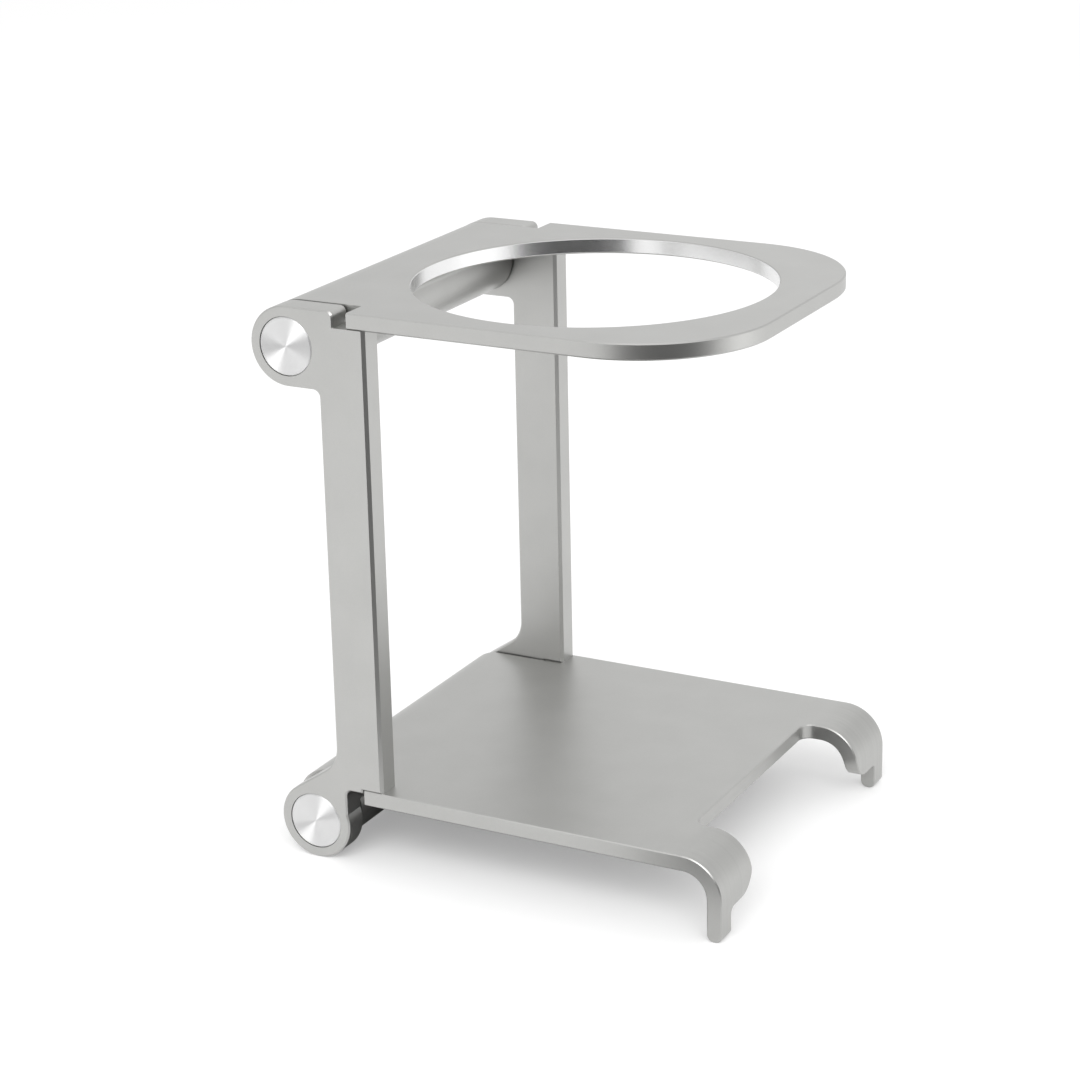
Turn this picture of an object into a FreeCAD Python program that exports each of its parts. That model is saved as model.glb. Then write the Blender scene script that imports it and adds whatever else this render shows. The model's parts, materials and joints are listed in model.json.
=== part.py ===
"""Folding pour over dripper stand: two uprights, a top plate with the dripper hole and a base plate.

Frame: X is the width and the direction of the hinge axes, -Y is the front where the dripper sits, +Z is up,
and the origin is on the floor below the middle of the stand. Sizes are in millimetres.
"""

import os

import FreeCAD
import Part
import Sketcher

doc = FreeCAD.newDocument("dripper_stand")
sizes = doc.addObject("Spreadsheet::Sheet", "Sizes")

# Independent sizes, each written once
SIZE_ROWS = (
    ("stand_height", "110", "floor to the top plate's upper face"),
    ("upright_thickness", "5.2", "flat bar, across the hinge axis"),
    ("upright_depth", "10", "flat bar, front to back"),
    ("ear_radius", "7.6", "round hinge ears behind the uprights"),
    ("upper_axis_setback", "6.8", "upper hinge axis behind the upright's rear face"),
    ("lower_axis_setback", "5.4", "lower hinge axis behind the upright's rear face"),
    ("upper_ear_reach", "10.3", "upper axis to the step that the top plate's shoulders clear"),
    ("lower_ear_reach", "7.2", "lower axis to the ear's flat front"),
    ("lower_ear_slope", "34", "rise of the lower ear's top, degrees"),
    ("ear_top_fillet", "1.5", "below the upper ear"),
    ("ear_low_fillet", "6.4", "above the lower ear"),
    ("slot_fillet", "1.2", "roof of the slot in front of the lower ear"),
    ("step_fillet", "1.2", "top of the upper ear's step"),
    ("foot_nose", "0.7", "upright's foot reaches this far down behind the base plate's wide part"),
    ("foot_nose_gap", "0.4", "that foot to the edge of the base plate's wide part"),
    ("upright_front_chamfer", "0.6", "two front corners of the bar"),
    ("edge_break", "0.3", "small chamfer on the other sharp edges"),
    ("top_plate_thickness", "3.1", "top plate"),
    ("top_plate_setback", "1.7", "top plate's front edge behind the feet's front"),
    ("top_corner_radius", "25", "top plate's two front corners"),
    ("top_rear_gap", "2.9", "upper ear's step to the top plate's wide part"),
    ("top_edge_chamfer", "0.25", "rim of the top plate's upper face"),
    ("dripper_hole", "69", "hole that the dripper stands in"),
    ("hole_side_margin", "5.5", "plate left at each side of the hole"),
    ("hole_front_margin", "7.9", "plate left in front of the hole"),
    ("hole_rear_margin", "8.8", "upper hinge axis to the hole's rear edge"),
    ("base_plate_thickness", "3", "base plate, bend and legs"),
    ("base_plate_height", "16", "floor to the base plate's upper face"),
    ("base_rear_gap", "4.1", "lower ear's front to the base plate's wide part"),
    ("foot_bend_radius", "8", "outside of the feet's bend"),
    ("notch_width", "52", "between the two feet"),
    ("notch_depth", "11.7", "front of the feet back to the plate's front edge"),
    ("notch_fillet", "2.3", "inner corners of the notch"),
    ("leg_width", "4.4", "narrow leg at each outer side"),
    ("leg_length", "5.3", "floor to the wide arm's end"),
    ("arm_corner_radius", "5", "wide arm's end at the notch"),
    ("leg_fillet", "1.2", "where the leg widens"),
    ("base_edge_chamfer", "0.2", "rim of the base plate's upper face"),
    ("barrel_step", "0.5", "hinge barrels of both plates inside the ears' round"),
    ("barrel_web_fillet", "1.5", "barrel to the plate's underside"),
    ("screw_core", "4", "threaded bore in the barrels"),
    ("screw_bore_depth", "13", "threaded bore from the barrel's end"),
    ("thread_clearance", "0.04", "radial, thread in its bore"),
    ("shoulder_diameter", "5", "pivot screw's plain shoulder"),
    ("shoulder_clearance", "0.05", "radial, shoulder in the ear"),
    ("thread_length", "10", "pivot screw's thread"),
    ("head_diameter", "8.6", "pivot screw's head"),
    ("head_height", "1", "pivot screw's head"),
    ("head_clearance", "0.2", "radial, head and spring washer in their recess"),
    ("hex_key", "2.5", "hexagon socket in the head, across its corners"),
    ("hex_depth", "0.7", "socket in the head"),
    ("spring_washer_thickness", "0.35", "flattened spring washer under the head"),
    ("stack_clearance", "0.05", "play along the axis at each face"),
    ("thrust_washer_thickness", "0.35", "between ear and barrel"),
    ("thrust_washer_diameter", "11.6", "between ear and barrel"),
    ("cover_diameter", "11.1", "turned cover in the ear"),
    ("cover_thickness", "1.2", "turned cover in the ear"),
    ("cover_recess", "0.05", "cover's face below the ear's side"),
    ("cover_clearance", "0.1", "radial, the thin ring round the cover"),
    ("cover_rim_chamfer", "0.35", "front rim of the cover"),
)

# Places that follow from the sizes above
PLACE_ROWS = (
    ("stand_width", "=dripper_hole + 2 * hole_side_margin", "across both uprights"),
    ("top_front", "=hole_rear_margin + dripper_hole + hole_front_margin", "upper axis to the front edge"),
    ("stand_depth", "=ear_radius + top_front + top_plate_setback", "upper ears' back to the feet's front"),
    ("rear_face_y", "=stand_depth / 2 - ear_radius - upper_axis_setback", "uprights' rear face"),
    ("upper_axis_y", "=rear_face_y + upper_axis_setback", "upper hinge axis"),
    ("upper_axis_z", "=stand_height - ear_radius", "upper hinge axis"),
    ("lower_axis_y", "=rear_face_y + lower_axis_setback", "lower hinge axis"),
    ("lower_axis_z", "=ear_radius", "lower hinge axis, its ears stand on the floor"),
    ("upper_y", "=upper_axis_y - lower_axis_y", "upper axis from the lower one"),
    ("upper_z", "=upper_axis_z - lower_axis_z", "upper axis from the lower one"),
    ("bar_rear_y", "=-lower_axis_setback", "bar's rear face from the lower axis"),
    ("bar_front_y", "=bar_rear_y - upright_depth", "bar's front face from the lower axis"),
    ("bar_foot_z", "=base_plate_height - lower_axis_z", "bar's end, standing on the base plate"),
    ("shoulder_z", "=upper_z + ear_radius - top_plate_thickness", "shoulder that carries the top plate"),
    ("step_y", "=upper_y - upper_ear_reach", "step behind that shoulder"),
    ("slope_y", "=ear_radius * sin(lower_ear_slope * 1deg)", "where the slope leaves the ear's round"),
    ("slope_z", "=ear_radius * cos(lower_ear_slope * 1deg)", "where the slope leaves the ear's round"),
    ("slope_end_z", "=slope_z + (slope_y - bar_rear_y) * tan(lower_ear_slope * 1deg)", "slope's upper end"),
    ("barrel_radius", "=ear_radius - barrel_step", "hinge barrels of both plates"),
    ("cover_bore", "=cover_diameter + 2 * cover_clearance", "recess for the cover"),
    ("cover_bore_depth", "=cover_thickness + cover_recess", "recess for the cover"),
    ("head_bore", "=head_diameter + 2 * head_clearance", "recess for the screw's head"),
    ("head_stack", "=head_height + spring_washer_thickness + 3 * stack_clearance", "head, washer and play"),
    ("web_thickness", "=upright_thickness - cover_bore_depth - head_stack", "ear left for the shoulder"),
    ("shoulder_bore", "=shoulder_diameter + 2 * shoulder_clearance", "hole for the shoulder"),
    ("barrel_end_gap", "=thrust_washer_thickness + 2 * stack_clearance", "ear to barrel"),
    ("barrel_half", "=stand_width / 2 - upright_thickness - barrel_end_gap", "half of a barrel's length"),
    ("screw_start", "=cover_bore_depth + stack_clearance", "ear's side to the screw's head"),
    ("shoulder_length", "=barrel_end_gap + web_thickness + spring_washer_thickness + 2 * stack_clearance",
     "under the head to the barrel's end"),
    ("top_wide", "=upper_ear_reach + top_rear_gap", "upper axis to the top plate's wide part"),
    ("top_barrel_rise", "=ear_radius - barrel_radius", "barrel's centre above the upper axis"),
    ("hole_y", "=-(hole_rear_margin + dripper_hole / 2)", "hole's centre from the upper axis"),
    ("base_front", "=lower_axis_y + stand_depth / 2", "lower axis to the feet's front"),
    ("base_wide", "=lower_ear_reach + base_rear_gap", "lower axis to the base plate's wide part"),
    ("nose_y", "=foot_nose_gap - base_wide", "nose of the upright's foot from the lower axis"),
    ("nose_z", "=bar_foot_z - foot_nose", "nose of the upright's foot from the lower axis"),
    ("base_top", "=base_plate_height - lower_axis_z", "base plate's upper face from the lower axis"),
    ("base_low", "=base_top - base_plate_thickness", "base plate's under face from the lower axis"),
    ("base_barrel_rise", "=base_top - barrel_radius", "barrel's centre above the lower axis"),
    ("leg_tip_fillet", "=base_plate_thickness * 0.45", "rounded end of the legs"),
    ("arm_end_z", "=leg_length - lower_axis_z", "wide arm's end from the lower axis"),
    ("leg_inner", "=stand_width / 2 - leg_width", "middle of the stand to the leg's inner side"),
)

for row, (alias, content, note) in enumerate(SIZE_ROWS + PLACE_ROWS, start=1):
    sizes.set("A%d" % row, alias)
    sizes.set("B%d" % row, content)
    sizes.set("C%d" % row, note)
    sizes.setAlias("B%d" % row, alias)
doc.recompute()


def size(name):
    """The value of a named size, in millimetres.

    Args:
        name: an alias in the Sizes sheet.

    Returns:
        The number that the sheet holds for it.
    """
    return float(getattr(sizes, name))


def worked(expression):
    """The value of an expression on the Sizes sheet.

    Args:
        expression: text such as "Sizes.stand_width / 2".

    Returns:
        Its value as a plain number.
    """
    result = sizes.evalExpression(expression.replace("Sizes.", ""))
    return float(getattr(result, "Value", result))


def new_body(name, label, place=None):
    """A new part with its placement bound to the sheet.

    Args:
        name: node and file name.
        label: shown label, the same name.
        place: expressions for the placement's base, by axis.

    Returns:
        The PartDesign body.
    """
    body = doc.addObject("PartDesign::Body", name)
    body.Label = label
    for axis, expression in (place or {}).items():
        body.setExpression("Placement.Base." + axis, expression)
    return body


def plane_sketch(body, plane, name, offset=None):
    """A sketch on one of a body's own planes.

    Args:
        body: the body that gets it.
        plane: "XY", "XZ" or "YZ".
        name: the sketch's name.
        offset: expression for its distance along the plane's normal.

    Returns:
        The empty sketch.
    """
    role = plane + "_Plane"
    support = [f for f in body.Origin.OriginFeatures if f.Role == role][0]
    sketch = body.newObject("Sketcher::SketchObject", name)
    sketch.AttachmentSupport = [(support, "")]
    sketch.MapMode = "FlatFace"
    if offset:
        sketch.setExpression("AttachmentOffset.Base.z", offset)
    return sketch


def pin_point(sketch, geometry, position, across, up):
    """Binds one point of a sketch to two expressions.

    Args:
        sketch: the sketch.
        geometry: index of the line or circle.
        position: which of its points (1 start, 2 end, 3 centre).
        across: expression for its distance along the sketch's first axis.
        up: expression for its distance along the second.
    """
    for kind, expression in (("DistanceX", across), ("DistanceY", up)):
        value = worked(expression)
        index = sketch.addConstraint(Sketcher.Constraint(kind, -1, 1, geometry, position, value))
        sketch.setExpression("Constraints[%d]" % index, expression)


def short_arc(start, end, centre):
    """The shorter arc between two points.

    Args:
        start: first point.
        end: second point.
        centre: the arc's centre.

    Returns:
        The arc, and which of its own points (1 or 2) lie at the start and at the end.
    """
    circle = Part.Circle(centre, FreeCAD.Vector(0, 0, 1), (start - centre).Length)
    if (start - centre).cross(end - centre).z > 0:
        return Part.ArcOfCircle(circle, circle.parameter(start), circle.parameter(end)), (1, 2)
    return Part.ArcOfCircle(circle, circle.parameter(end), circle.parameter(start)), (2, 1)


def draw_outline(sketch, corners, arcs=None):
    """A closed outline, each corner bound to the sheet.

    Args:
        sketch: the sketch that gets it.
        corners: pairs of expressions, in order round the outline.
        arcs: for the number of a corner where an arc starts, the pair of its centre's expressions.
    """
    arcs = arcs or {}
    points = [FreeCAD.Vector(worked(a), worked(b), 0) for a, b in corners]
    first = sketch.GeometryCount
    count = len(points)
    ends = []
    for i, point in enumerate(points):
        after = points[(i + 1) % count]
        shape, marks = Part.LineSegment(point, after), (1, 2)
        if i in arcs:
            centre = FreeCAD.Vector(worked(arcs[i][0]), worked(arcs[i][1]), 0)
            shape, marks = short_arc(point, after, centre)
        sketch.addGeometry(shape, False)
        ends.append(marks)
    for i in range(count):
        after = (i + 1) % count
        link = (first + i, ends[i][1], first + after, ends[after][0])
        sketch.addConstraint(Sketcher.Constraint("Coincident", *link))
    for i, (across, up) in enumerate(corners):
        pin_point(sketch, first + i, ends[i][0], across, up)
    for i, (across, _) in arcs.items():
        bound = sketch.addConstraint(Sketcher.Constraint("DistanceX", -1, 1, first + i, 3, worked(across)))
        sketch.setExpression("Constraints[%d]" % bound, across)


def draw_circle(sketch, across, up, diameter):
    """A circle bound to the sheet.

    Args:
        sketch: the sketch that gets it.
        across: expression for its centre along the first axis.
        up: expression for its centre along the second.
        diameter: expression for its diameter.
    """
    centre = FreeCAD.Vector(worked(across), worked(up), 0)
    radius = worked(diameter) / 2
    index = sketch.addGeometry(Part.Circle(centre, FreeCAD.Vector(0, 0, 1), radius), False)
    pin_point(sketch, index, 3, across, up)
    bound = sketch.addConstraint(Sketcher.Constraint("Diameter", index, 2 * radius))
    sketch.setExpression("Constraints[%d]" % bound, diameter)


def pad(body, sketch, length, reverse=False, both_ways=False):
    """Adds the sketch's shape to the body.

    Args:
        body: the body.
        sketch: the closed profile.
        length: expression for the length.
        reverse: against the sketch's normal.
        both_ways: half of the length on each side of the sketch.

    Returns:
        The pad.
    """
    feature = body.newObject("PartDesign::Pad", sketch.Name + "_pad")
    feature.Profile = sketch
    feature.setExpression("Length", length)
    if both_ways:
        feature.SideType = "Symmetric"
    feature.Reversed = reverse
    doc.recompute()
    return feature


def pocket(body, sketch, length, reverse=False, both_ways=False):
    """Cuts the sketch's shape out of the body.

    Args:
        body: the body.
        sketch: the closed profile.
        length: expression for the depth.
        reverse: along the sketch's normal.
        both_ways: half of the depth on each side of the sketch.

    Returns:
        The pocket.
    """
    feature = body.newObject("PartDesign::Pocket", sketch.Name + "_cut")
    feature.Profile = sketch
    feature.setExpression("Length", length)
    if both_ways:
        feature.SideType = "Symmetric"
    feature.Reversed = reverse
    doc.recompute()
    return feature


def revolve(body, sketch):
    """A full turn of the sketch round the body's X axis.

    Args:
        body: the body.
        sketch: the half section, with X along the axis and Y outward.

    Returns:
        The revolution.
    """
    axis = [f for f in body.Origin.OriginFeatures if f.Role == "X_Axis"][0]
    feature = body.newObject("PartDesign::Revolution", sketch.Name + "_turned")
    feature.Profile = sketch
    feature.ReferenceAxis = (axis, [""])
    feature.Angle = 360
    doc.recompute()
    return feature


def edges_where(body, test):
    """Names of the edges of a body's last feature that pass a test.

    Args:
        body: the body.
        test: takes an edge and its middle point, in the body's own frame.

    Returns:
        Edge names such as "Edge12".
    """
    shape = body.Tip.Shape
    found = []
    for i, edge in enumerate(shape.Edges, start=1):
        middle = edge.valueAt((edge.FirstParameter + edge.LastParameter) / 2)
        if test(edge, middle):
            found.append("Edge%d" % i)
    return found


def near(first, second, limit=0.02):
    """Whether two numbers agree within a small limit.

    Args:
        first: one number.
        second: the other number.
        limit: the largest difference.

    Returns:
        True if they agree.
    """
    return abs(first - second) <= limit


def runs_along(edge, axis):
    """Whether an edge is a straight line along an axis.

    Args:
        edge: the edge.
        axis: "x", "y" or "z".

    Returns:
        True if it is.
    """
    if edge.Curve.TypeId != "Part::GeomLine":
        return False
    ends = [v.Point for v in edge.Vertexes]
    if len(ends) != 2:
        return False
    run = (ends[1] - ends[0]).normalize()
    return near(abs(getattr(run, axis)), 1)


def round_edges(body, name, test, radius):
    """Rounds the edges that pass a test.

    Args:
        body: the body.
        name: the fillet's name.
        test: takes an edge and its middle point.
        radius: expression for the radius.
    """
    names = edges_where(body, test)
    if not names:
        raise RuntimeError("no edge found for " + name)
    base = body.Tip
    feature = body.newObject("PartDesign::Fillet", name)
    feature.Base = (base, names)
    feature.setExpression("Radius", radius)
    doc.recompute()


def chamfer_edges(body, name, test, length):
    """Chamfers the edges that pass a test.

    Args:
        body: the body.
        name: the chamfer's name.
        test: takes an edge and its middle point.
        length: expression for the chamfer's width along each face.
    """
    names = edges_where(body, test)
    if not names:
        raise RuntimeError("no edge found for " + name)
    base = body.Tip
    feature = body.newObject("PartDesign::Chamfer", name)
    feature.Base = (base, names)
    feature.setExpression("Size", length)
    doc.recompute()


# Uprights

def make_upright(name, sign):
    """One upright with its two ears, from the lower hinge axis.

    Args:
        name: node name.
        sign: -1 for the left one, 1 for the right one.

    Returns:
        The body.
    """
    place = {
        "x": "Sizes.stand_width / 2 * %d" % sign,
        "y": "Sizes.lower_axis_y",
        "z": "Sizes.lower_axis_z",
    }
    body = new_body(name, name, place)
    inward = sign < 0

    outline = plane_sketch(body, "YZ", name + "_outline")
    draw_outline(
        outline,
        (
            ("Sizes.upper_y", "Sizes.upper_z + Sizes.ear_radius"),
            ("Sizes.step_y", "Sizes.upper_z + Sizes.ear_radius"),
            ("Sizes.step_y", "Sizes.shoulder_z"),
            ("Sizes.bar_front_y", "Sizes.shoulder_z"),
            ("Sizes.bar_front_y", "Sizes.bar_foot_z"),
            ("Sizes.nose_y", "Sizes.bar_foot_z"),
            ("Sizes.nose_y", "Sizes.nose_z"),
            ("-Sizes.lower_ear_reach", "Sizes.nose_z"),
            ("-Sizes.lower_ear_reach", "0"),
            ("0", "0"),
            ("Sizes.slope_y", "Sizes.slope_z"),
            ("Sizes.bar_rear_y", "Sizes.slope_end_z"),
            ("Sizes.bar_rear_y", "Sizes.upper_z - Sizes.ear_radius"),
            ("Sizes.upper_y", "Sizes.upper_z - Sizes.ear_radius"),
        ),
    )
    pad(body, outline, "Sizes.upright_thickness", reverse=not inward)

    ears = plane_sketch(body, "YZ", name + "_ears")
    draw_circle(ears, "0", "0", "Sizes.ear_radius * 2")
    draw_circle(ears, "Sizes.upper_y", "Sizes.upper_z", "Sizes.ear_radius * 2")
    pad(body, ears, "Sizes.upright_thickness", reverse=not inward)

    def corner(y, z):
        return lambda edge, p: runs_along(edge, "x") and near(p.y, y) and near(p.z, z)

    bar_rear, bar_front = size("bar_rear_y"), size("bar_front_y")
    under_ear = size("upper_z") - size("ear_radius")
    round_edges(body, name + "_ear_low", corner(bar_rear, size("slope_end_z")), "Sizes.ear_low_fillet")
    round_edges(body, name + "_ear_top", corner(bar_rear, under_ear), "Sizes.ear_top_fillet")
    slot_corner = corner(-size("lower_ear_reach"), size("nose_z"))
    round_edges(body, name + "_slot", slot_corner, "Sizes.slot_fillet")
    step_top = corner(size("step_y"), size("upper_z") + size("ear_radius"))
    round_edges(body, name + "_step", step_top, "Sizes.step_fillet")

    # Recess for the cover, recess for the screw's head and hole for its shoulder
    for where, across, up in (("lower", "0", "0"), ("upper", "Sizes.upper_y", "Sizes.upper_z")):
        for step, diameter, depth in (
            ("cover", "Sizes.cover_bore", "Sizes.cover_bore_depth"),
            ("head", "Sizes.head_bore", "Sizes.cover_bore_depth + Sizes.head_stack"),
            ("shoulder", "Sizes.shoulder_bore", "Sizes.upright_thickness + 1"),
        ):
            bore = plane_sketch(body, "YZ", "%s_%s_%s" % (name, where, step))
            draw_circle(bore, across, up, diameter)
            pocket(body, bore, depth, reverse=inward)

    def bar_front_edge(edge, p):
        return runs_along(edge, "z") and near(p.y, bar_front)

    chamfer_edges(body, name + "_front_break", bar_front_edge, "Sizes.upright_front_chamfer")

    thickness = size("upright_thickness")
    ear = size("ear_radius")
    broken_front = bar_front + size("upright_front_chamfer")

    def ear_rim(edge, p):
        if edge.Curve.TypeId != "Part::GeomCircle" or not near(edge.Curve.Radius, ear):
            return False
        return near(abs(p.x), 0) or near(abs(p.x), thickness)

    def side_rim(edge, p):
        if not (near(abs(p.x), 0) or near(abs(p.x), thickness)):
            return False
        if ear_rim(edge, p):
            return True
        straight = edge.Curve.TypeId == "Part::GeomLine"
        return straight and not near(p.y, broken_front) and not near(p.z, size("shoulder_z"))

    chamfer_edges(body, name + "_rim_break", side_rim, "Sizes.edge_break")
    return body


# Top plate

def make_top_plate():
    """The top plate with its barrel and hole, from the upper hinge axis.

    Returns:
        The body.
    """
    place = {"y": "Sizes.upper_axis_y", "z": "Sizes.upper_axis_z"}
    body = new_body("top_plate", "top_plate", place)

    outline = plane_sketch(body, "XY", "top_plate_outline", "Sizes.ear_radius")
    half, tongue = "Sizes.stand_width / 2", "Sizes.barrel_half"
    draw_outline(
        outline,
        (
            ("-" + tongue, "0"),
            ("-" + tongue, "-Sizes.top_wide"),
            ("-" + half, "-Sizes.top_wide"),
            ("-" + half, "-Sizes.top_front"),
            (half, "-Sizes.top_front"),
            (half, "-Sizes.top_wide"),
            (tongue, "-Sizes.top_wide"),
            (tongue, "0"),
        ),
    )
    pad(body, outline, "Sizes.top_plate_thickness", reverse=True)

    barrel = plane_sketch(body, "YZ", "top_barrel")
    draw_circle(barrel, "0", "Sizes.top_barrel_rise", "Sizes.barrel_radius * 2")
    pad(body, barrel, "Sizes.barrel_half * 2", both_ways=True)

    front, wide = size("top_front"), size("stand_width") / 2
    top = size("ear_radius")
    low = top - size("top_plate_thickness")

    def front_corner(edge, p):
        return runs_along(edge, "z") and near(p.y, -front) and near(abs(p.x), wide)

    def barrel_root(edge, p):
        return runs_along(edge, "x") and near(p.z, low) and -size("top_wide") + 1 < p.y < 0

    round_edges(body, "top_front_corners", front_corner, "Sizes.top_corner_radius")
    round_edges(body, "top_barrel_root", barrel_root, "Sizes.barrel_web_fillet")

    hole = plane_sketch(body, "XY", "dripper_hole", "Sizes.ear_radius + 1")
    draw_circle(hole, "0", "Sizes.hole_y", "Sizes.dripper_hole")
    pocket(body, hole, "Sizes.top_plate_thickness + 2")

    def top_rim(edge, p):
        if not near(p.z, top):
            return False
        return p.y < -size("top_wide") - 0.05 and edge.Curve.TypeId != "Part::GeomBSplineCurve"

    chamfer_edges(body, "top_rim_break", top_rim, "Sizes.top_edge_chamfer")

    def low_rim(edge, p):
        return near(p.z, low) and p.y < -size("top_wide") - 0.05

    chamfer_edges(body, "low_rim_break", low_rim, "Sizes.edge_break")
    add_screw_bores(body, "top")
    return body


def add_screw_bores(body, word):
    """Threaded bores in both ends of a plate's barrel.

    Args:
        body: the plate.
        word: first word of the sketches' names.
    """
    for side, sign in (("left", -1), ("right", 1)):
        bore = plane_sketch(body, "YZ", "%s_bore_%s" % (word, side), "Sizes.barrel_half * %d" % sign)
        draw_circle(bore, "0", "0", "Sizes.screw_core")
        pocket(body, bore, "Sizes.screw_bore_depth", reverse=sign < 0)


# Base plate

def make_base_plate():
    """The base plate with its barrel, notch and feet, from the lower hinge axis.

    Returns:
        The body.
    """
    place = {"y": "Sizes.lower_axis_y", "z": "Sizes.lower_axis_z"}
    body = new_body("base_plate", "base_plate", place)

    section = plane_sketch(body, "YZ", "base_section")
    draw_outline(
        section,
        (
            ("-Sizes.base_wide", "Sizes.base_top"),
            ("-Sizes.base_front", "Sizes.base_top"),
            ("-Sizes.base_front", "-Sizes.lower_axis_z"),
            ("Sizes.base_plate_thickness - Sizes.base_front", "-Sizes.lower_axis_z"),
            ("Sizes.base_plate_thickness - Sizes.base_front", "Sizes.base_low"),
            ("-Sizes.base_wide", "Sizes.base_low"),
        ),
    )
    pad(body, section, "Sizes.stand_width", both_ways=True)

    tongue = plane_sketch(body, "XY", "base_tongue", "Sizes.base_top")
    draw_outline(
        tongue,
        (
            ("-Sizes.barrel_half", "0"),
            ("-Sizes.barrel_half", "-Sizes.base_wide - 1"),
            ("Sizes.barrel_half", "-Sizes.base_wide - 1"),
            ("Sizes.barrel_half", "0"),
        ),
    )
    pad(body, tongue, "Sizes.base_plate_thickness", reverse=True)

    barrel = plane_sketch(body, "YZ", "base_barrel")
    draw_circle(barrel, "0", "Sizes.base_barrel_rise", "Sizes.barrel_radius * 2")
    pad(body, barrel, "Sizes.barrel_half * 2", both_ways=True)

    front, floor = size("base_front"), -size("lower_axis_z")
    thick, top, low = size("base_plate_thickness"), size("base_top"), size("base_low")
    notch_back = front - size("notch_depth")
    notch_half = size("notch_width") / 2

    def bend_outside(edge, p):
        return runs_along(edge, "x") and near(p.y, -front) and near(p.z, top)

    def bend_inside(edge, p):
        return runs_along(edge, "x") and near(p.y, thick - front) and near(p.z, low)

    def leg_tip(edge, p):
        return runs_along(edge, "x") and near(p.z, floor)

    def barrel_root(edge, p):
        return runs_along(edge, "x") and near(p.z, low) and -size("base_wide") + 1 < p.y < 0

    round_edges(body, "bend_outside", bend_outside, "Sizes.foot_bend_radius")
    inside = "Sizes.foot_bend_radius - Sizes.base_plate_thickness"
    round_edges(body, "bend_inside", bend_inside, inside)
    round_edges(body, "leg_tips", leg_tip, "Sizes.leg_tip_fillet")
    round_edges(body, "base_barrel_root", barrel_root, "Sizes.barrel_web_fillet")

    notch = plane_sketch(body, "XY", "front_notch", "Sizes.base_top + 1")
    draw_outline(
        notch,
        (
            ("-Sizes.notch_width / 2", "-Sizes.base_front - 1"),
            ("Sizes.notch_width / 2", "-Sizes.base_front - 1"),
            ("Sizes.notch_width / 2", "Sizes.notch_depth - Sizes.base_front"),
            ("-Sizes.notch_width / 2", "Sizes.notch_depth - Sizes.base_front"),
        ),
    )
    pocket(body, notch, "Sizes.base_plate_height + 2")

    # The wide arms end above the floor with a rounded corner, narrow legs at the outer sides go on down
    for side, sign in (("left", "-"), ("right", "")):
        leg = sign + "Sizes.leg_inner"
        arm = sign + "Sizes.notch_width / 2"
        rounded = sign + "(Sizes.notch_width / 2 + Sizes.arm_corner_radius)"
        beyond = sign + "(Sizes.notch_width / 2 - 1)"
        corner_top = "Sizes.arm_end_z + Sizes.arm_corner_radius"
        end = plane_sketch(body, "XZ", "arm_end_" + side, "Sizes.base_front + 1")
        draw_outline(
            end,
            (
                (arm, corner_top),
                (rounded, "Sizes.arm_end_z"),
                (leg, "Sizes.arm_end_z"),
                (leg, "-Sizes.lower_axis_z - 1"),
                (beyond, "-Sizes.lower_axis_z - 1"),
                (beyond, corner_top),
            ),
            arcs={0: (rounded, corner_top)},
        )
        pocket(body, end, "Sizes.notch_depth + 1")

    def notch_corner(edge, p):
        return runs_along(edge, "z") and near(p.y, -notch_back) and near(abs(p.x), notch_half)

    def leg_root(edge, p):
        return runs_along(edge, "y") and near(abs(p.x), size("leg_inner")) and near(p.z, size("arm_end_z"))

    round_edges(body, "notch_corners", notch_corner, "Sizes.notch_fillet")
    round_edges(body, "leg_roots", leg_root, "Sizes.leg_fillet")

    bend_y = size("foot_bend_radius") - front

    def top_rim(edge, p):
        return near(p.z, top) and p.y < -size("base_wide") - 0.05 and not near(p.y, bend_y)

    chamfer_edges(body, "base_rim_break", top_rim, "Sizes.base_edge_chamfer")
    add_screw_bores(body, "base")
    return body


# Turned pieces of the four hinges

def make_turned(name, place, start, corners):
    """A turned piece in one hinge, its axis along X.

    Args:
        name: node name.
        place: side ("left" or "right") and height ("upper" or "lower").
        start: expression for the distance from the ear's side to the piece.
        corners: half section from the piece's outer face, along the axis and outward.

    Returns:
        The body.
    """
    side, height = place
    sign = "-" if side == "left" else ""
    turn = 0 if side == "left" else 180
    base = {
        "x": "%s(Sizes.stand_width / 2 - (%s))" % (sign, start),
        "y": "Sizes.%s_axis_y" % height,
        "z": "Sizes.%s_axis_z" % height,
    }
    body = new_body(name, name, base)
    body.Placement.Rotation = FreeCAD.Rotation(FreeCAD.Vector(0, 0, 1), turn)
    section = plane_sketch(body, "XY", name + "_section")
    draw_outline(section, corners)
    revolve(body, section)
    return body


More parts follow.
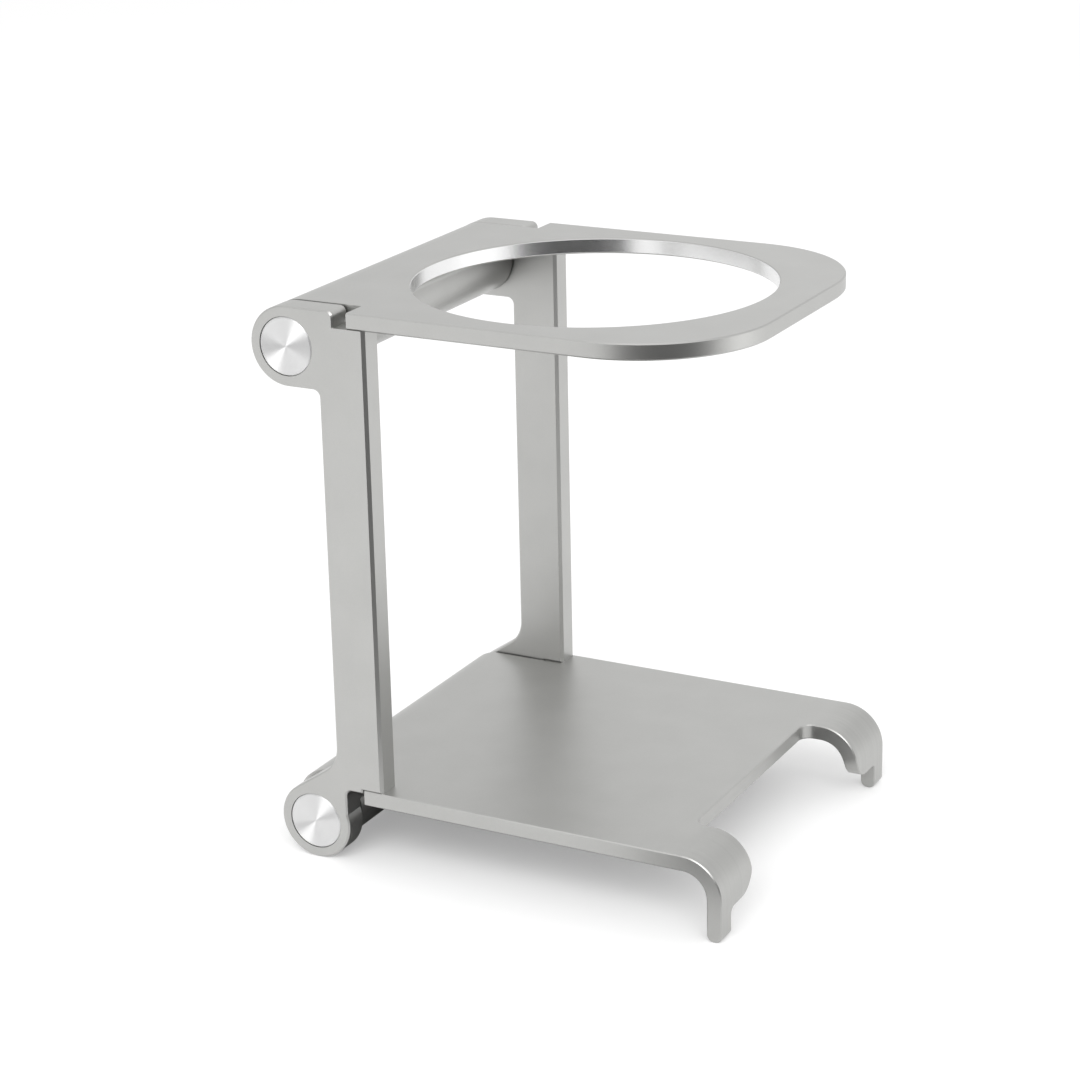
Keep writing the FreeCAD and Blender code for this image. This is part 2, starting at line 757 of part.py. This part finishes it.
def make_hinge(side, height):
    """Cover, pivot screw, spring washer and thrust washer of one hinge.

    Args:
        side: "left" or "right".
        height: "upper" or "lower".

    Returns:
        The four bodies.
    """
    place = (side, height)
    tail = "_%s_%s" % (height, side)

    rim = "Sizes.cover_diameter / 2"
    cover = make_turned(
        "hinge_cover" + tail,
        place,
        "Sizes.cover_recess",
        (
            ("0", "0"),
            ("0", rim + " - Sizes.cover_rim_chamfer"),
            ("Sizes.cover_rim_chamfer", rim),
            ("Sizes.cover_thickness", rim),
            ("Sizes.cover_thickness", "0"),
        ),
    )

    head, shoulder = "Sizes.head_height", "Sizes.head_height + Sizes.shoulder_length"
    thread = "Sizes.screw_core / 2 - Sizes.thread_clearance"
    end = shoulder + " + Sizes.thread_length"
    screw = make_turned(
        "pivot_screw" + tail,
        place,
        "Sizes.screw_start",
        (
            ("0", "0"),
            ("0", "Sizes.head_diameter / 2"),
            (head, "Sizes.head_diameter / 2"),
            (head, "Sizes.shoulder_diameter / 2"),
            (shoulder, "Sizes.shoulder_diameter / 2"),
            (shoulder, thread),
            (end, thread),
            (end, "0"),
        ),
    )
    socket = plane_sketch(screw, "YZ", "hex_socket" + tail)
    reach = "Sizes.hex_key / 2 * "
    corners = [(reach + "cos(%ddeg)" % a, reach + "sin(%ddeg)" % a) for a in range(0, 360, 60)]
    draw_outline(socket, corners)
    pocket(screw, socket, "Sizes.hex_depth", reverse=True)

    washer_in = "Sizes.shoulder_diameter / 2 + Sizes.shoulder_clearance"
    spring = make_turned(
        "spring_washer" + tail,
        place,
        "Sizes.screw_start + Sizes.head_height + Sizes.stack_clearance",
        (
            ("0", washer_in),
            ("0", "Sizes.head_diameter / 2"),
            ("Sizes.spring_washer_thickness", "Sizes.head_diameter / 2"),
            ("Sizes.spring_washer_thickness", washer_in),
        ),
    )

    thrust = make_turned(
        "thrust_washer" + tail,
        place,
        "Sizes.upright_thickness + Sizes.stack_clearance",
        (
            ("0", washer_in),
            ("0", "Sizes.thrust_washer_diameter / 2"),
            ("Sizes.thrust_washer_thickness", "Sizes.thrust_washer_diameter / 2"),
            ("Sizes.thrust_washer_thickness", washer_in),
        ),
    )
    return [cover, screw, spring, thrust]


bodies = [make_upright("left_upright", -1), make_upright("right_upright", 1)]
bodies.append(make_top_plate())
bodies.append(make_base_plate())
for hinge_side in ("left", "right"):
    for hinge_height in ("upper", "lower"):
        bodies.extend(make_hinge(hinge_side, hinge_height))

doc.recompute()
os.makedirs("parts", exist_ok=True)
for item in doc.Objects:
    if "Invalid" in item.State or "Error" in item.State:
        raise RuntimeError("%s has state %s" % (item.Name, item.State))
for body in bodies:
    shape = body.Shape
    if shape.isNull() or not shape.isValid() or len(shape.Solids) != 1:
        raise RuntimeError(body.Label + " is not one valid solid")
    shape.exportStep("parts/%s.step" % body.Label)
    box = shape.BoundBox
    print("%-28s x %.2f %.2f  y %.2f %.2f  z %.2f %.2f  volume %.1f" % (
        body.Label, box.XMin, box.XMax, box.YMin, box.YMax, box.ZMin, box.ZMax, shape.Volume))
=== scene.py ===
"""Folding pour over dripper stand: its finishes, its turned hinge covers, the studio and the camera."""

import json
import logging
import math
from dataclasses import dataclass
from enum import Enum
from typing import Any

import bpy
from mathutils import Matrix, Vector


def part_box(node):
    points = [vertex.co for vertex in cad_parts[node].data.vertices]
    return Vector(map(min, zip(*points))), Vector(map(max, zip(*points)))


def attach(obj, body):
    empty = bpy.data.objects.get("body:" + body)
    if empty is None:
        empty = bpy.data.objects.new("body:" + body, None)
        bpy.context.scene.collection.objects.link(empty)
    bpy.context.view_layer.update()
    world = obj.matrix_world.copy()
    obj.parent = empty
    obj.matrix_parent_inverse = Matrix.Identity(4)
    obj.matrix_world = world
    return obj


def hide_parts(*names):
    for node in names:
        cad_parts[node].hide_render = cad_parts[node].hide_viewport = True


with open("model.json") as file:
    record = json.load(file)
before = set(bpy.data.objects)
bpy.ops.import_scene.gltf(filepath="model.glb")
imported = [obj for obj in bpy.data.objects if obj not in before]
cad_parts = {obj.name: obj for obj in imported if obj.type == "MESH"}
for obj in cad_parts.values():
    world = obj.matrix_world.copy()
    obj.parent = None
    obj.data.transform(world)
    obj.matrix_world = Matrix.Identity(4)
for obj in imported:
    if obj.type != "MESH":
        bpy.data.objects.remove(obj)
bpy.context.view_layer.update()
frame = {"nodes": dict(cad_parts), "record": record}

log = logging.getLogger("dripper_stand")

MM = 0.001

# Blender's wave texture runs through 20 radians per unit at scale 1, and its noise is 0.5 on average
WAVE_RADIANS = 20
NOISE_MEAN = 0.5


def linear(code: str) -> tuple[float, float, float, float]:
    """Turns an sRGB hex colour to the linear one that a shader takes.

    Args:
        code: a colour such as "#C3C3C1".

    Returns:
        Red, green, blue and alpha.
    """
    parts = [int(code[i : i + 2], 16) / 255 for i in (1, 3, 5)]
    red, green, blue = (p / 12.92 if p <= 0.04045 else ((p + 0.055) / 1.055) ** 2.4 for p in parts)
    return red, green, blue, 1.0


def add_node(
    tree: bpy.types.NodeTree,
    kind: str,
    settings: dict[str, Any] | None = None,
    values: dict[str, Any] | None = None,
    links: dict[str, bpy.types.NodeSocket] | None = None,
) -> bpy.types.Node:
    """Adds a node with its settings, socket values and incoming links.

    Args:
        tree: the material's or world's tree.
        kind: the node's type name.
        settings: its own properties.
        values: plain values of its input sockets, by name.
        links: sockets of other nodes that feed its inputs, by name.

    Returns:
        The node.
    """
    node = tree.nodes.new(kind)
    for name, value in (settings or {}).items():
        setattr(node, name, value)
    for name, value in (values or {}).items():
        node.inputs[name].default_value = value
    for name, source in (links or {}).items():
        tree.links.new(source, node.inputs[name])
    return node


def new_material(name: str) -> bpy.types.Material:
    """An empty node material.

    Args:
        name: the material's name.

    Returns:
        The material, with no node in its tree.
    """
    material = bpy.data.materials.new(name)
    material.use_nodes = True
    material.node_tree.nodes.clear()
    return material


def dress(piece: bpy.types.Object, material: bpy.types.Material) -> None:
    """Gives a piece one material all over.

    Args:
        piece: a CAD node or a new piece.
        material: its finish.
    """
    if not piece.material_slots:
        piece.data.materials.append(material)
    for entry in piece.material_slots:
        entry.material = material


class Side(Enum):
    """The two ends of a hinge, as in the nodes' names. Left is towards -X."""

    LEFT = "left"
    RIGHT = "right"


class Height(Enum):
    """The two hinges of the stand."""

    UPPER = "upper"
    LOWER = "lower"


# Finishes


@dataclass(frozen=True)
class BlastedAluminium:
    """Milled aluminium, bead blasted and clear anodised.

    Glass beads leave a matt light grey with an even grain, so it shows broad soft reflections and no
    streaks. The grain is drawn at 0.3 mm, coarser than the real one, because that is what a picture shows.
    """

    name: str = "blasted_aluminium"
    pale: str = "#B9B9B7"
    dark: str = "#B4B4B2"
    roughness: float = 0.40
    grain: float = 0.3 * MM
    grain_height: float = 0.004 * MM
    cloud: float = 9 * MM
    grain_share: float = 0.6
    mottle_low: float = 0.5
    mottle_high: float = 1.1

    def shade(self, tree: bpy.types.NodeTree, place: bpy.types.Node) -> bpy.types.Node:
        """Adds the blasted surface to a tree.

        Args:
            tree: the material's tree.
            place: its Texture Coordinate node.

        Returns:
            The Principled node.
        """
        grain = add_node(
            tree,
            "ShaderNodeTexNoise",
            values={"Scale": 1 / self.grain, "Detail": 2.0, "Roughness": 0.6},
            links={"Vector": place.outputs["Object"]},
        )
        cloud = add_node(
            tree,
            "ShaderNodeTexNoise",
            values={"Scale": 1 / self.cloud, "Detail": 3.0, "Roughness": 0.5},
            links={"Vector": place.outputs["Object"]},
        )
        both = add_node(
            tree,
            "ShaderNodeMath",
            {"operation": "MULTIPLY_ADD"},
            {1: self.grain_share},
            {0: grain.outputs["Fac"]},
        )
        tree.links.new(cloud.outputs["Fac"], both.inputs[2])
        ramp = add_node(
            tree,
            "ShaderNodeMapRange",
            values={"From Min": self.mottle_low, "From Max": self.mottle_high},
            links={"Value": both.outputs[0]},
        )
        tint = add_node(
            tree,
            "ShaderNodeMix",
            {"data_type": "RGBA"},
            {6: linear(self.dark), 7: linear(self.pale)},
            {0: ramp.outputs["Result"]},
        )
        relief = add_node(
            tree,
            "ShaderNodeBump",
            values={"Strength": 1.0, "Distance": self.grain_height},
            links={"Height": grain.outputs["Fac"]},
        )
        return add_node(
            tree,
            "ShaderNodeBsdfPrincipled",
            values={"Metallic": 1.0, "Roughness": self.roughness},
            links={
                "Base Color": self.colour(tree, place, tint.outputs[2]),
                "Normal": relief.outputs["Normal"],
            },
        )

    def colour(
        self, tree: bpy.types.NodeTree, place: bpy.types.Node, even: bpy.types.NodeSocket
    ) -> bpy.types.NodeSocket:
        """The blasted grey as it is. A finish that builds on this one changes it here.

        Args:
            tree: the material's tree.
            place: its Texture Coordinate node.
            even: the blasted grey.

        Returns:
            The same grey.
        """
        return even

    def make(self) -> bpy.types.Material:
        """Builds the material.

        Returns:
            The material.
        """
        material = new_material(self.name)
        tree = material.node_tree
        shader = self.shade(tree, add_node(tree, "ShaderNodeTexCoord"))
        add_node(tree, "ShaderNodeOutputMaterial", links={"Surface": shader.outputs["BSDF"]})
        return material


@dataclass(frozen=True)
class BentAluminium(BlastedAluminium):
    """The same aluminium, bent at its front.

    Bending draws the skin of the metal out into fine streaks that run round the bend. They are drawn at
    0.7 mm, coarser than the real ones, so that they show.
    """

    name: str = "bent_blasted_aluminium"
    streak: float = 0.7 * MM
    streak_length: float = 60 * MM
    streak_depth: float = 0.16
    streak_colour: str = "#8A8A88"
    bend_start: float = -37.0 * MM
    bend_full: float = -41.5 * MM

    def colour(
        self, tree: bpy.types.NodeTree, place: bpy.types.Node, even: bpy.types.NodeSocket
    ) -> bpy.types.NodeSocket:
        """Darkens the grey in streaks on the bend.

        Args:
            tree: the material's tree.
            place: its Texture Coordinate node.
            even: the grey of the flat metal.

        Returns:
            The streaked grey.
        """
        drawn_out = add_node(
            tree,
            "ShaderNodeMapping",
            values={"Scale": (1 / self.streak, 1 / self.streak_length, 1 / self.streak_length)},
            links={"Vector": place.outputs["Object"]},
        )
        streaks = add_node(
            tree,
            "ShaderNodeTexNoise",
            values={"Scale": 1.0, "Detail": 3.0, "Roughness": 0.6},
            links={"Vector": drawn_out.outputs["Vector"]},
        )
        axes = add_node(tree, "ShaderNodeSeparateXYZ", links={"Vector": place.outputs["Object"]})
        on_bend = add_node(
            tree,
            "ShaderNodeMapRange",
            values={
                "From Min": self.bend_start,
                "From Max": self.bend_full,
                "To Max": self.streak_depth / NOISE_MEAN,
            },
            links={"Value": axes.outputs["Y"]},
        )
        amount = add_node(
            tree,
            "ShaderNodeMath",
            {"operation": "MULTIPLY"},
            links={0: streaks.outputs["Fac"], 1: on_bend.outputs["Result"]},
        )
        mix = add_node(
            tree,
            "ShaderNodeMix",
            {"data_type": "RGBA"},
            {7: linear(self.streak_colour)},
            {0: amount.outputs[0], 6: even},
        )
        return mix.outputs[2]


@dataclass(frozen=True)
class BoredPaintedHighlightAluminium(BlastedAluminium):
    """The same aluminium with a round hole bored after blasting.

    The boring tool leaves the hole's wall smoother than the blasted faces, with fine level lines, drawn at
    0.25 mm so that they show. The wall's lighter colour is a painted highlight.
    """

    name: str = "bored_aluminium_painted_highlight"
    hole_middle: tuple[float, float] = (0.0, 0.0)
    hole_radius: float = 34.5 * MM
    reach: float = 0.06 * MM
    # Painted highlight: the lighter colour of the hole's wall
    bright: str = "#E6E6E6"
    bright_roughness: float = 0.26
    line_pitch: float = 0.25 * MM
    line_height: float = 0.002 * MM

    def make(self) -> bpy.types.Material:
        """Builds the material, with a painted highlight: a lighter colour on the hole's wall only.

        Returns:
            The material.
        """
        material = new_material(self.name)
        tree = material.node_tree
        place = add_node(tree, "ShaderNodeTexCoord")
        blasted = self.shade(tree, place)
        from_middle = add_node(
            tree,
            "ShaderNodeMapping",
            values={"Location": (-self.hole_middle[0], -self.hole_middle[1], 0), "Scale": (1, 1, 0)},
            links={"Vector": place.outputs["Object"]},
        )
        radius = add_node(
            tree, "ShaderNodeVectorMath", {"operation": "LENGTH"}, links={0: from_middle.outputs["Vector"]}
        )
        on_wall = add_node(
            tree,
            "ShaderNodeMath",
            {"operation": "COMPARE"},
            {1: self.hole_radius, 2: self.reach},
            {0: radius.outputs["Value"]},
        )
        lines = add_node(
            tree,
            "ShaderNodeTexWave",
            {"wave_type": "BANDS", "bands_direction": "Z", "wave_profile": "SIN"},
            {"Scale": 2 * math.pi / self.line_pitch / WAVE_RADIANS},
            {"Vector": place.outputs["Object"]},
        )
        relief = add_node(
            tree,
            "ShaderNodeBump",
            values={"Strength": 1.0, "Distance": self.line_height},
            links={"Height": lines.outputs["Fac"]},
        )
        # The wall's smoother finish with level lines, in a lighter colour that is a painted highlight
        wall_finish_and_painted_highlight = add_node(
            tree,
            "ShaderNodeBsdfPrincipled",
            values={
                "Base Color": linear(self.bright),
                "Metallic": 1.0,
                "Roughness": self.bright_roughness,
            },
            links={"Normal": relief.outputs["Normal"]},
        )
        both = add_node(
            tree,
            "ShaderNodeMixShader",
            links={0: on_wall.outputs[0], 1: blasted.outputs["BSDF"], 2: wall_finish_and_painted_highlight.outputs["BSDF"]},
        )
        add_node(tree, "ShaderNodeOutputMaterial", links={"Surface": both.outputs["Shader"]})
        return material


@dataclass(frozen=True)
class TurnedAluminium:
    """Aluminium faced on a lathe and left bright.

    The cutter leaves fine rings round the hinge axis. They draw the reflections out into bright and
    grey sectors that meet in the middle. The rings are drawn at 0.15 mm, a coarse feed, so that they show.
    """

    name: str
    centre: tuple[float, float, float]
    colour: str = "#E8E8E8"
    roughness: float = 0.45
    anisotropy: float = 0.97
    anisotropy_turn: float = 0.25
    ring_pitch: float = 0.15 * MM
    ring_height: float = 0.002 * MM

    def make(self) -> bpy.types.Material:
        """Builds the material, its rings centred on the hinge axis.

        Returns:
            The material.
        """
        material = new_material(self.name)
        tree = material.node_tree
        place = add_node(tree, "ShaderNodeTexCoord")
        on_axis = add_node(
            tree,
            "ShaderNodeMapping",
            values={"Location": tuple(-c for c in self.centre)},
            links={"Vector": place.outputs["Object"]},
        )
        rings = add_node(
            tree,
            "ShaderNodeTexWave",
            {"wave_type": "RINGS", "rings_direction": "X", "wave_profile": "SIN"},
            {"Scale": 2 * math.pi / self.ring_pitch / WAVE_RADIANS, "Distortion": 0.0},
            {"Vector": on_axis.outputs["Vector"]},
        )
        relief = add_node(
            tree,
            "ShaderNodeBump",
            values={"Strength": 1.0, "Distance": self.ring_height},
            links={"Height": rings.outputs["Fac"]},
        )
        round_axis = add_node(tree, "ShaderNodeTangent", {"direction_type": "RADIAL", "axis": "X"})
        shader = add_node(
            tree,
            "ShaderNodeBsdfPrincipled",
            values={
                "Base Color": linear(self.colour),
                "Metallic": 1.0,
                "Roughness": self.roughness,
                "Anisotropic": self.anisotropy,
                "Anisotropic Rotation": self.anisotropy_turn,
            },
            links={"Normal": relief.outputs["Normal"], "Tangent": round_axis.outputs["Tangent"]},
        )
        add_node(tree, "ShaderNodeOutputMaterial", links={"Surface": shader.outputs["BSDF"]})
        return material


@dataclass(frozen=True)
class PlainFinish:
    """A smooth even finish, as on the small parts inside the hinges."""

    name: str
    colour: str
    metallic: float
    roughness: float

    def make(self) -> bpy.types.Material:
        """Builds the material.

        Returns:
            The material.
        """
        material = new_material(self.name)
        tree = material.node_tree
        shader = add_node(
            tree,
            "ShaderNodeBsdfPrincipled",
            values={
                "Base Color": linear(self.colour),
                "Metallic": self.metallic,
                "Roughness": self.roughness,
            },
        )
        add_node(tree, "ShaderNodeOutputMaterial", links={"Surface": shader.outputs["BSDF"]})
        return material


# Sub-assemblies


@dataclass
class AluminiumParts:
    """The four large aluminium pieces: both uprights, the top plate and the base plate."""

    uprights: tuple[str, ...] = ("left_upright", "right_upright")
    top: str = "top_plate"
    base: str = "base_plate"

    def finish(self) -> None:
        """Dresses the four CAD nodes."""
        plain = BlastedAluminium().make()
        hole = next(m for m in frame["record"]["mounts"] if m["name"] == "dripper_hole")["pos_m"]
        finishes = {
            **{name: plain for name in self.uprights},
            self.top: BoredPaintedHighlightAluminium(hole_middle=(hole[0], hole[1])).make(),
            self.base: BentAluminium().make(),
        }
        for name, finish in finishes.items():
            dress(frame["nodes"][name], finish)
            log.info("%s: %s", name, finish.name)


@dataclass
class TurnedCovers:
    """The turned covers that close the four hinge recesses, with the rings that the lathe leaves."""

    around: int = 96
    rim_chamfer: float = 0.35 * MM
    rim_land: float = 0.5 * MM
    closer_fit: float = 0.06 * MM
    ring_pitch: float = 0.4 * MM
    ring_depth: float = 0.006 * MM
    pip_radius: float = 0.35 * MM
    facing_out: float = 0.9
    flat: float = 0.999
    smooth_below: float = math.radians(20)

    def model(self, height: Height) -> bpy.types.Object:
        """Models the left cover of one hinge on its own place.

        Args:
            height: which hinge.

        Returns:
            The cover, with its outer face towards -X.
        """
        low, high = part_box("hinge_cover_%s_left" % height.value)
        centre = (low + high) / 2
        radius = (high.y - low.y) / 2 + self.closer_fit
        bpy.ops.object.select_all(action="DESELECT")
        bpy.ops.mesh.primitive_cylinder_add(
            vertices=self.around,
            radius=radius,
            depth=high.x - low.x,
            location=centre,
            rotation=(0, -math.pi / 2, 0),
        )
        cover = bpy.context.object
        bpy.ops.object.transform_apply(location=True, rotation=True, scale=True)
        for polygon in cover.data.polygons:
            polygon.select = polygon.normal.x < -self.facing_out
        for edge in cover.data.edges:
            edge.select = False
        for vertex in cover.data.vertices:
            vertex.select = vertex.co.x < low.x + self.rim_chamfer
        bpy.ops.object.mode_set(mode="EDIT")
        bpy.ops.mesh.select_mode(type="FACE")
        bpy.ops.mesh.bevel(offset=self.rim_chamfer, segments=2, affect="EDGES")
        bpy.ops.object.mode_set(mode="OBJECT")
        for polygon in cover.data.polygons:
            on_face = polygon.normal.x < -self.flat
            polygon.select = on_face and (polygon.center - centre).yz.length < self.pip_radius
        bpy.ops.object.mode_set(mode="EDIT")
        bpy.ops.mesh.inset(thickness=self.rim_land, depth=0)
        face = radius - self.rim_chamfer - self.rim_land
        count = int((face - self.pip_radius) / self.ring_pitch)
        for _ in range(count):
            bpy.ops.mesh.inset(thickness=self.ring_pitch / 2, depth=-self.ring_depth)
            bpy.ops.mesh.inset(thickness=self.ring_pitch / 2, depth=self.ring_depth)
        bpy.ops.object.mode_set(mode="OBJECT")
        bpy.ops.object.shade_smooth_by_angle(angle=self.smooth_below)
        return cover

    def place_right(self, left: bpy.types.Object) -> bpy.types.Object:
        """Copies a left cover to the right end of its hinge, turned half round.

        Args:
            left: the left cover.

        Returns:
            The right cover, with its own mesh.
        """
        bpy.ops.object.select_all(action="DESELECT")
        left.select_set(True)
        bpy.context.view_layer.objects.active = left
        bpy.ops.object.duplicate(linked=False)
        right = bpy.context.object
        middle = sum((Vector(c) for c in left.bound_box), Vector()) / len(left.bound_box)
        axis = Matrix.Translation((0, middle.y, middle.z))
        right.data.transform(axis @ Matrix.Rotation(math.pi, 4, "Z") @ axis.inverted())
        return right

    def build(self) -> None:
        """Models, dresses and mounts the four covers."""
        for height in Height:
            low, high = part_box("hinge_cover_%s_left" % height.value)
            middle = (low + high) / 2
            finish = TurnedAluminium("turned_aluminium_" + height.value, (0, middle.y, middle.z)).make()
            left = self.model(height)
            right = self.place_right(left)
            for side, cover in ((Side.LEFT, left), (Side.RIGHT, right)):
                word = "%s_%s" % (height.value, side.value)
                cover.name = cover.data.name = "turned_cover_" + word
                dress(cover, finish)
                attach(cover, "uprights")
                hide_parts("hinge_cover_" + word)
                log.info("%s: %d faces", cover.name, len(cover.data.polygons))


@dataclass
class HingeInsides:
    """Screws and washers inside the four hinges."""

    screw: PlainFinish = PlainFinish("plain_screw_steel", "#B4B4B6", 1.0, 0.32)
    spring: PlainFinish = PlainFinish("plain_spring_steel", "#A4A4A8", 1.0, 0.38)
    washer: PlainFinish = PlainFinish("sliding_plastic", "#3A3A3A", 0.0, 0.45)

    def finish(self) -> None:
        """Dresses the CAD nodes of the four hinges."""
        kinds = (
            ("pivot_screw", self.screw, "screw_steel"),
            ("spring_washer", self.spring, "spring_steel"),
            ("thrust_washer", self.washer, "washer_plastic"),
        )
        for kind, look, slot in kinds:
            material = look.make()
            for height in Height:
                for side in Side:
                    name = "%s_%s_%s" % (kind, height.value, side.value)
                    dress(frame["nodes"][name], material)
            log.info("%s: four pieces of %s", kind, look.name)


# Studio

# A flat card lies this far above the floor
CARD_LIFT = 0.4 * MM


@dataclass(frozen=True)
class SoftBox:
    """A soft rectangular lamp that faces the stand."""

    name: str
    place: tuple[float, float, float]
    width: float
    height: float
    watts: float

    def make(self, target: Vector) -> None:
        """Hangs the lamp.

        Args:
            target: the point that it faces.
        """
        bpy.ops.object.select_all(action="DESELECT")
        bpy.ops.object.light_add(type="AREA", location=self.place)
        lamp = bpy.context.object
        lamp.name = self.name
        lamp.data.shape = "RECTANGLE"
        lamp.data.size = self.width
        lamp.data.size_y = self.height
        lamp.data.energy = self.watts
        lamp.rotation_euler = (target - Vector(self.place)).to_track_quat("-Z", "Y").to_euler()


@dataclass(frozen=True)
class DarkCard:
    """A dark card that the metal mirrors and the camera doesn't see: a painted reflection.

    It paints the aluminium's dark edges as reflections. It casts no shadow and takes no light from the
    floor.
    """

    name: str
    middle: tuple[float, float, float]
    width: float
    depth: float
    colour: str
    upright: bool = False
    roughness: float = 0.9

    def make(self) -> None:
        """Lays the card flat, or stands it up to face the stand."""
        bpy.ops.object.select_all(action="DESELECT")
        bpy.ops.mesh.primitive_plane_add(size=1.0, location=self.middle)
        card = bpy.context.object
        card.name = self.name
        card.scale = (self.width, self.depth, 1.0)
        if self.upright:
            away = Vector((self.middle[0], self.middle[1], 0))
            card.rotation_euler = (-away).to_track_quat("Z", "Y").to_euler()
        bpy.ops.object.transform_apply(location=True, rotation=True, scale=True)
        dress(card, PlainFinish("dull_card_" + self.name, self.colour, 0.0, self.roughness).make())
        card.visible_camera = False
        card.visible_diffuse = False
        card.visible_shadow = False


@dataclass
class Studio:
    """A plain white floor, an even pale surround, soft lamps, and dark cards that only the metal mirrors:
    painted reflections and a painted shadow.
    """

    floor_size: float = 12.0
    floor_colour: str = "#DADADA"
    floor_glow: float = 0.27
    surround: str = "#FBFBFB"
    target: Vector = Vector((0, 0, 55 * MM))
    lamps: tuple[SoftBox, ...] = (
        SoftBox("key_box", (-0.827, -0.334, 0.858), 1.4, 0.5, 9.0),
        SoftBox("right_box", (0.262, -0.805, 0.136), 0.3, 0.24, 0.75),
        SoftBox("rear_box", (1.029, 0.145, 0.655), 0.7, 0.4, 0.2),
    )
    cards: tuple[DarkCard, ...] = (
        # Painted reflections: dark cards that only the metal mirrors, for its dark edges
        DarkCard("floor_card_painted_reflection", (-0.41, -0.385, CARD_LIFT), 0.70, 0.73, "#202020"),
        DarkCard("front_card_painted_reflection", (-0.575, -0.556, 0.15), 1.3, 0.3, "#202020", upright=True),
        # Painted shadow: a grey card under the stand that only the metal mirrors, in place of the floor's
        # deep shade there
        DarkCard("under_card_painted_shadow", (0.001, 0.002, CARD_LIFT), 0.078, 0.086, "#707070"),
    )

    def build(self) -> None:
        """Lays the floor and sets the world, the lamps and the cards."""
        bpy.ops.object.select_all(action="DESELECT")
        bpy.ops.mesh.primitive_plane_add(size=self.floor_size)
        floor = bpy.context.object
        floor.name = "floor"
        dress(floor, self.paint_floor())
        world = bpy.data.worlds.new("surround")
        bpy.context.scene.world = world
        world.use_nodes = True
        tree = world.node_tree
        tree.nodes.clear()
        glow = add_node(
            tree,
            "ShaderNodeBackground",
            values={"Color": linear(self.surround), "Strength": 1.0},
        )
        add_node(tree, "ShaderNodeOutputWorld", links={"Surface": glow.outputs["Background"]})
        for box in self.lamps:
            box.make(self.target)
        for card in self.cards:
            card.make()
        bpy.context.scene.view_settings.view_transform = "Standard"
        log.info("studio: floor, surround, %d soft boxes and %d cards", len(self.lamps), len(self.cards))

    def paint_floor(self) -> bpy.types.Material:
        """A matt pale floor that reads as white to the eye and in the metal, with a light shadow.

        Returns:
            The material.
        """
        material = new_material("white_floor")
        tree = material.node_tree
        matt = add_node(tree, "ShaderNodeBsdfDiffuse", values={"Color": linear(self.floor_colour)})
        path = add_node(tree, "ShaderNodeLightPath")
        seen = add_node(
            tree,
            "ShaderNodeMath",
            {"operation": "ADD", "use_clamp": True},
            links={0: path.outputs["Is Camera Ray"], 1: path.outputs["Is Glossy Ray"]},
        )
        seen_through = add_node(
            tree,
            "ShaderNodeMath",
            {"operation": "ADD", "use_clamp": True},
            links={0: seen.outputs[0], 1: path.outputs["Is Transmission Ray"]},
        )
        strength = add_node(
            tree,
            "ShaderNodeMath",
            {"operation": "MULTIPLY"},
            {1: self.floor_glow},
            {0: seen_through.outputs[0]},
        )
        white = add_node(tree, "ShaderNodeEmission", links={"Strength": strength.outputs[0]})
        both = add_node(
            tree,
            "ShaderNodeAddShader",
            links={0: matt.outputs["BSDF"], 1: white.outputs["Emission"]},
        )
        add_node(tree, "ShaderNodeOutputMaterial", links={"Surface": both.outputs["Shader"]})
        return material


@dataclass
class PhotoCamera:
    """The camera at the picture's viewing angle, in a square frame."""

    azimuth: float = -61.87
    elevation: float = 19.13
    roll: float = -1.21
    distance: float = 540.8 * MM
    middle: Vector = Vector((0, 0, 55 * MM))
    aim_across: float = -8.33 * MM
    aim_up: float = 2.86 * MM
    lens: float = 92.94
    sensor: float = 36.0
    clip_start: float = 10 * MM

    def build(self) -> None:
        """Adds the camera and makes it the scene's own."""
        turn, rise, tilt = (math.radians(a) for a in (self.azimuth, self.elevation, self.roll))
        back = Vector((math.sin(turn) * math.cos(rise), -math.cos(turn) * math.cos(rise), math.sin(rise)))
        level = Vector((math.cos(turn), math.sin(turn), 0))
        over = back.cross(level)
        across = level * math.cos(tilt) + over * math.sin(tilt)
        up = over * math.cos(tilt) - level * math.sin(tilt)
        eye = self.middle + across * self.aim_across + up * self.aim_up + back * self.distance
        bpy.ops.object.select_all(action="DESELECT")
        bpy.ops.object.camera_add(location=eye)
        camera = bpy.context.object
        camera.matrix_world = Matrix.Translation(eye) @ Matrix((across, up, back)).transposed().to_4x4()
        camera.data.lens = self.lens
        camera.data.sensor_width = self.sensor
        camera.data.clip_start = self.clip_start
        bpy.context.scene.camera = camera
        log.info("camera: %.0f mm from the stand", self.distance / MM)


def main() -> None:
    """Builds the stand's finishes and pieces, then the studio and the camera."""
    logging.basicConfig(level=logging.INFO, format="%(name)s: %(message)s")
    AluminiumParts().finish()
    TurnedCovers().build()
    HingeInsides().finish()
    Studio().build()
    PhotoCamera().build()


if __name__ == "__main__":
    main()
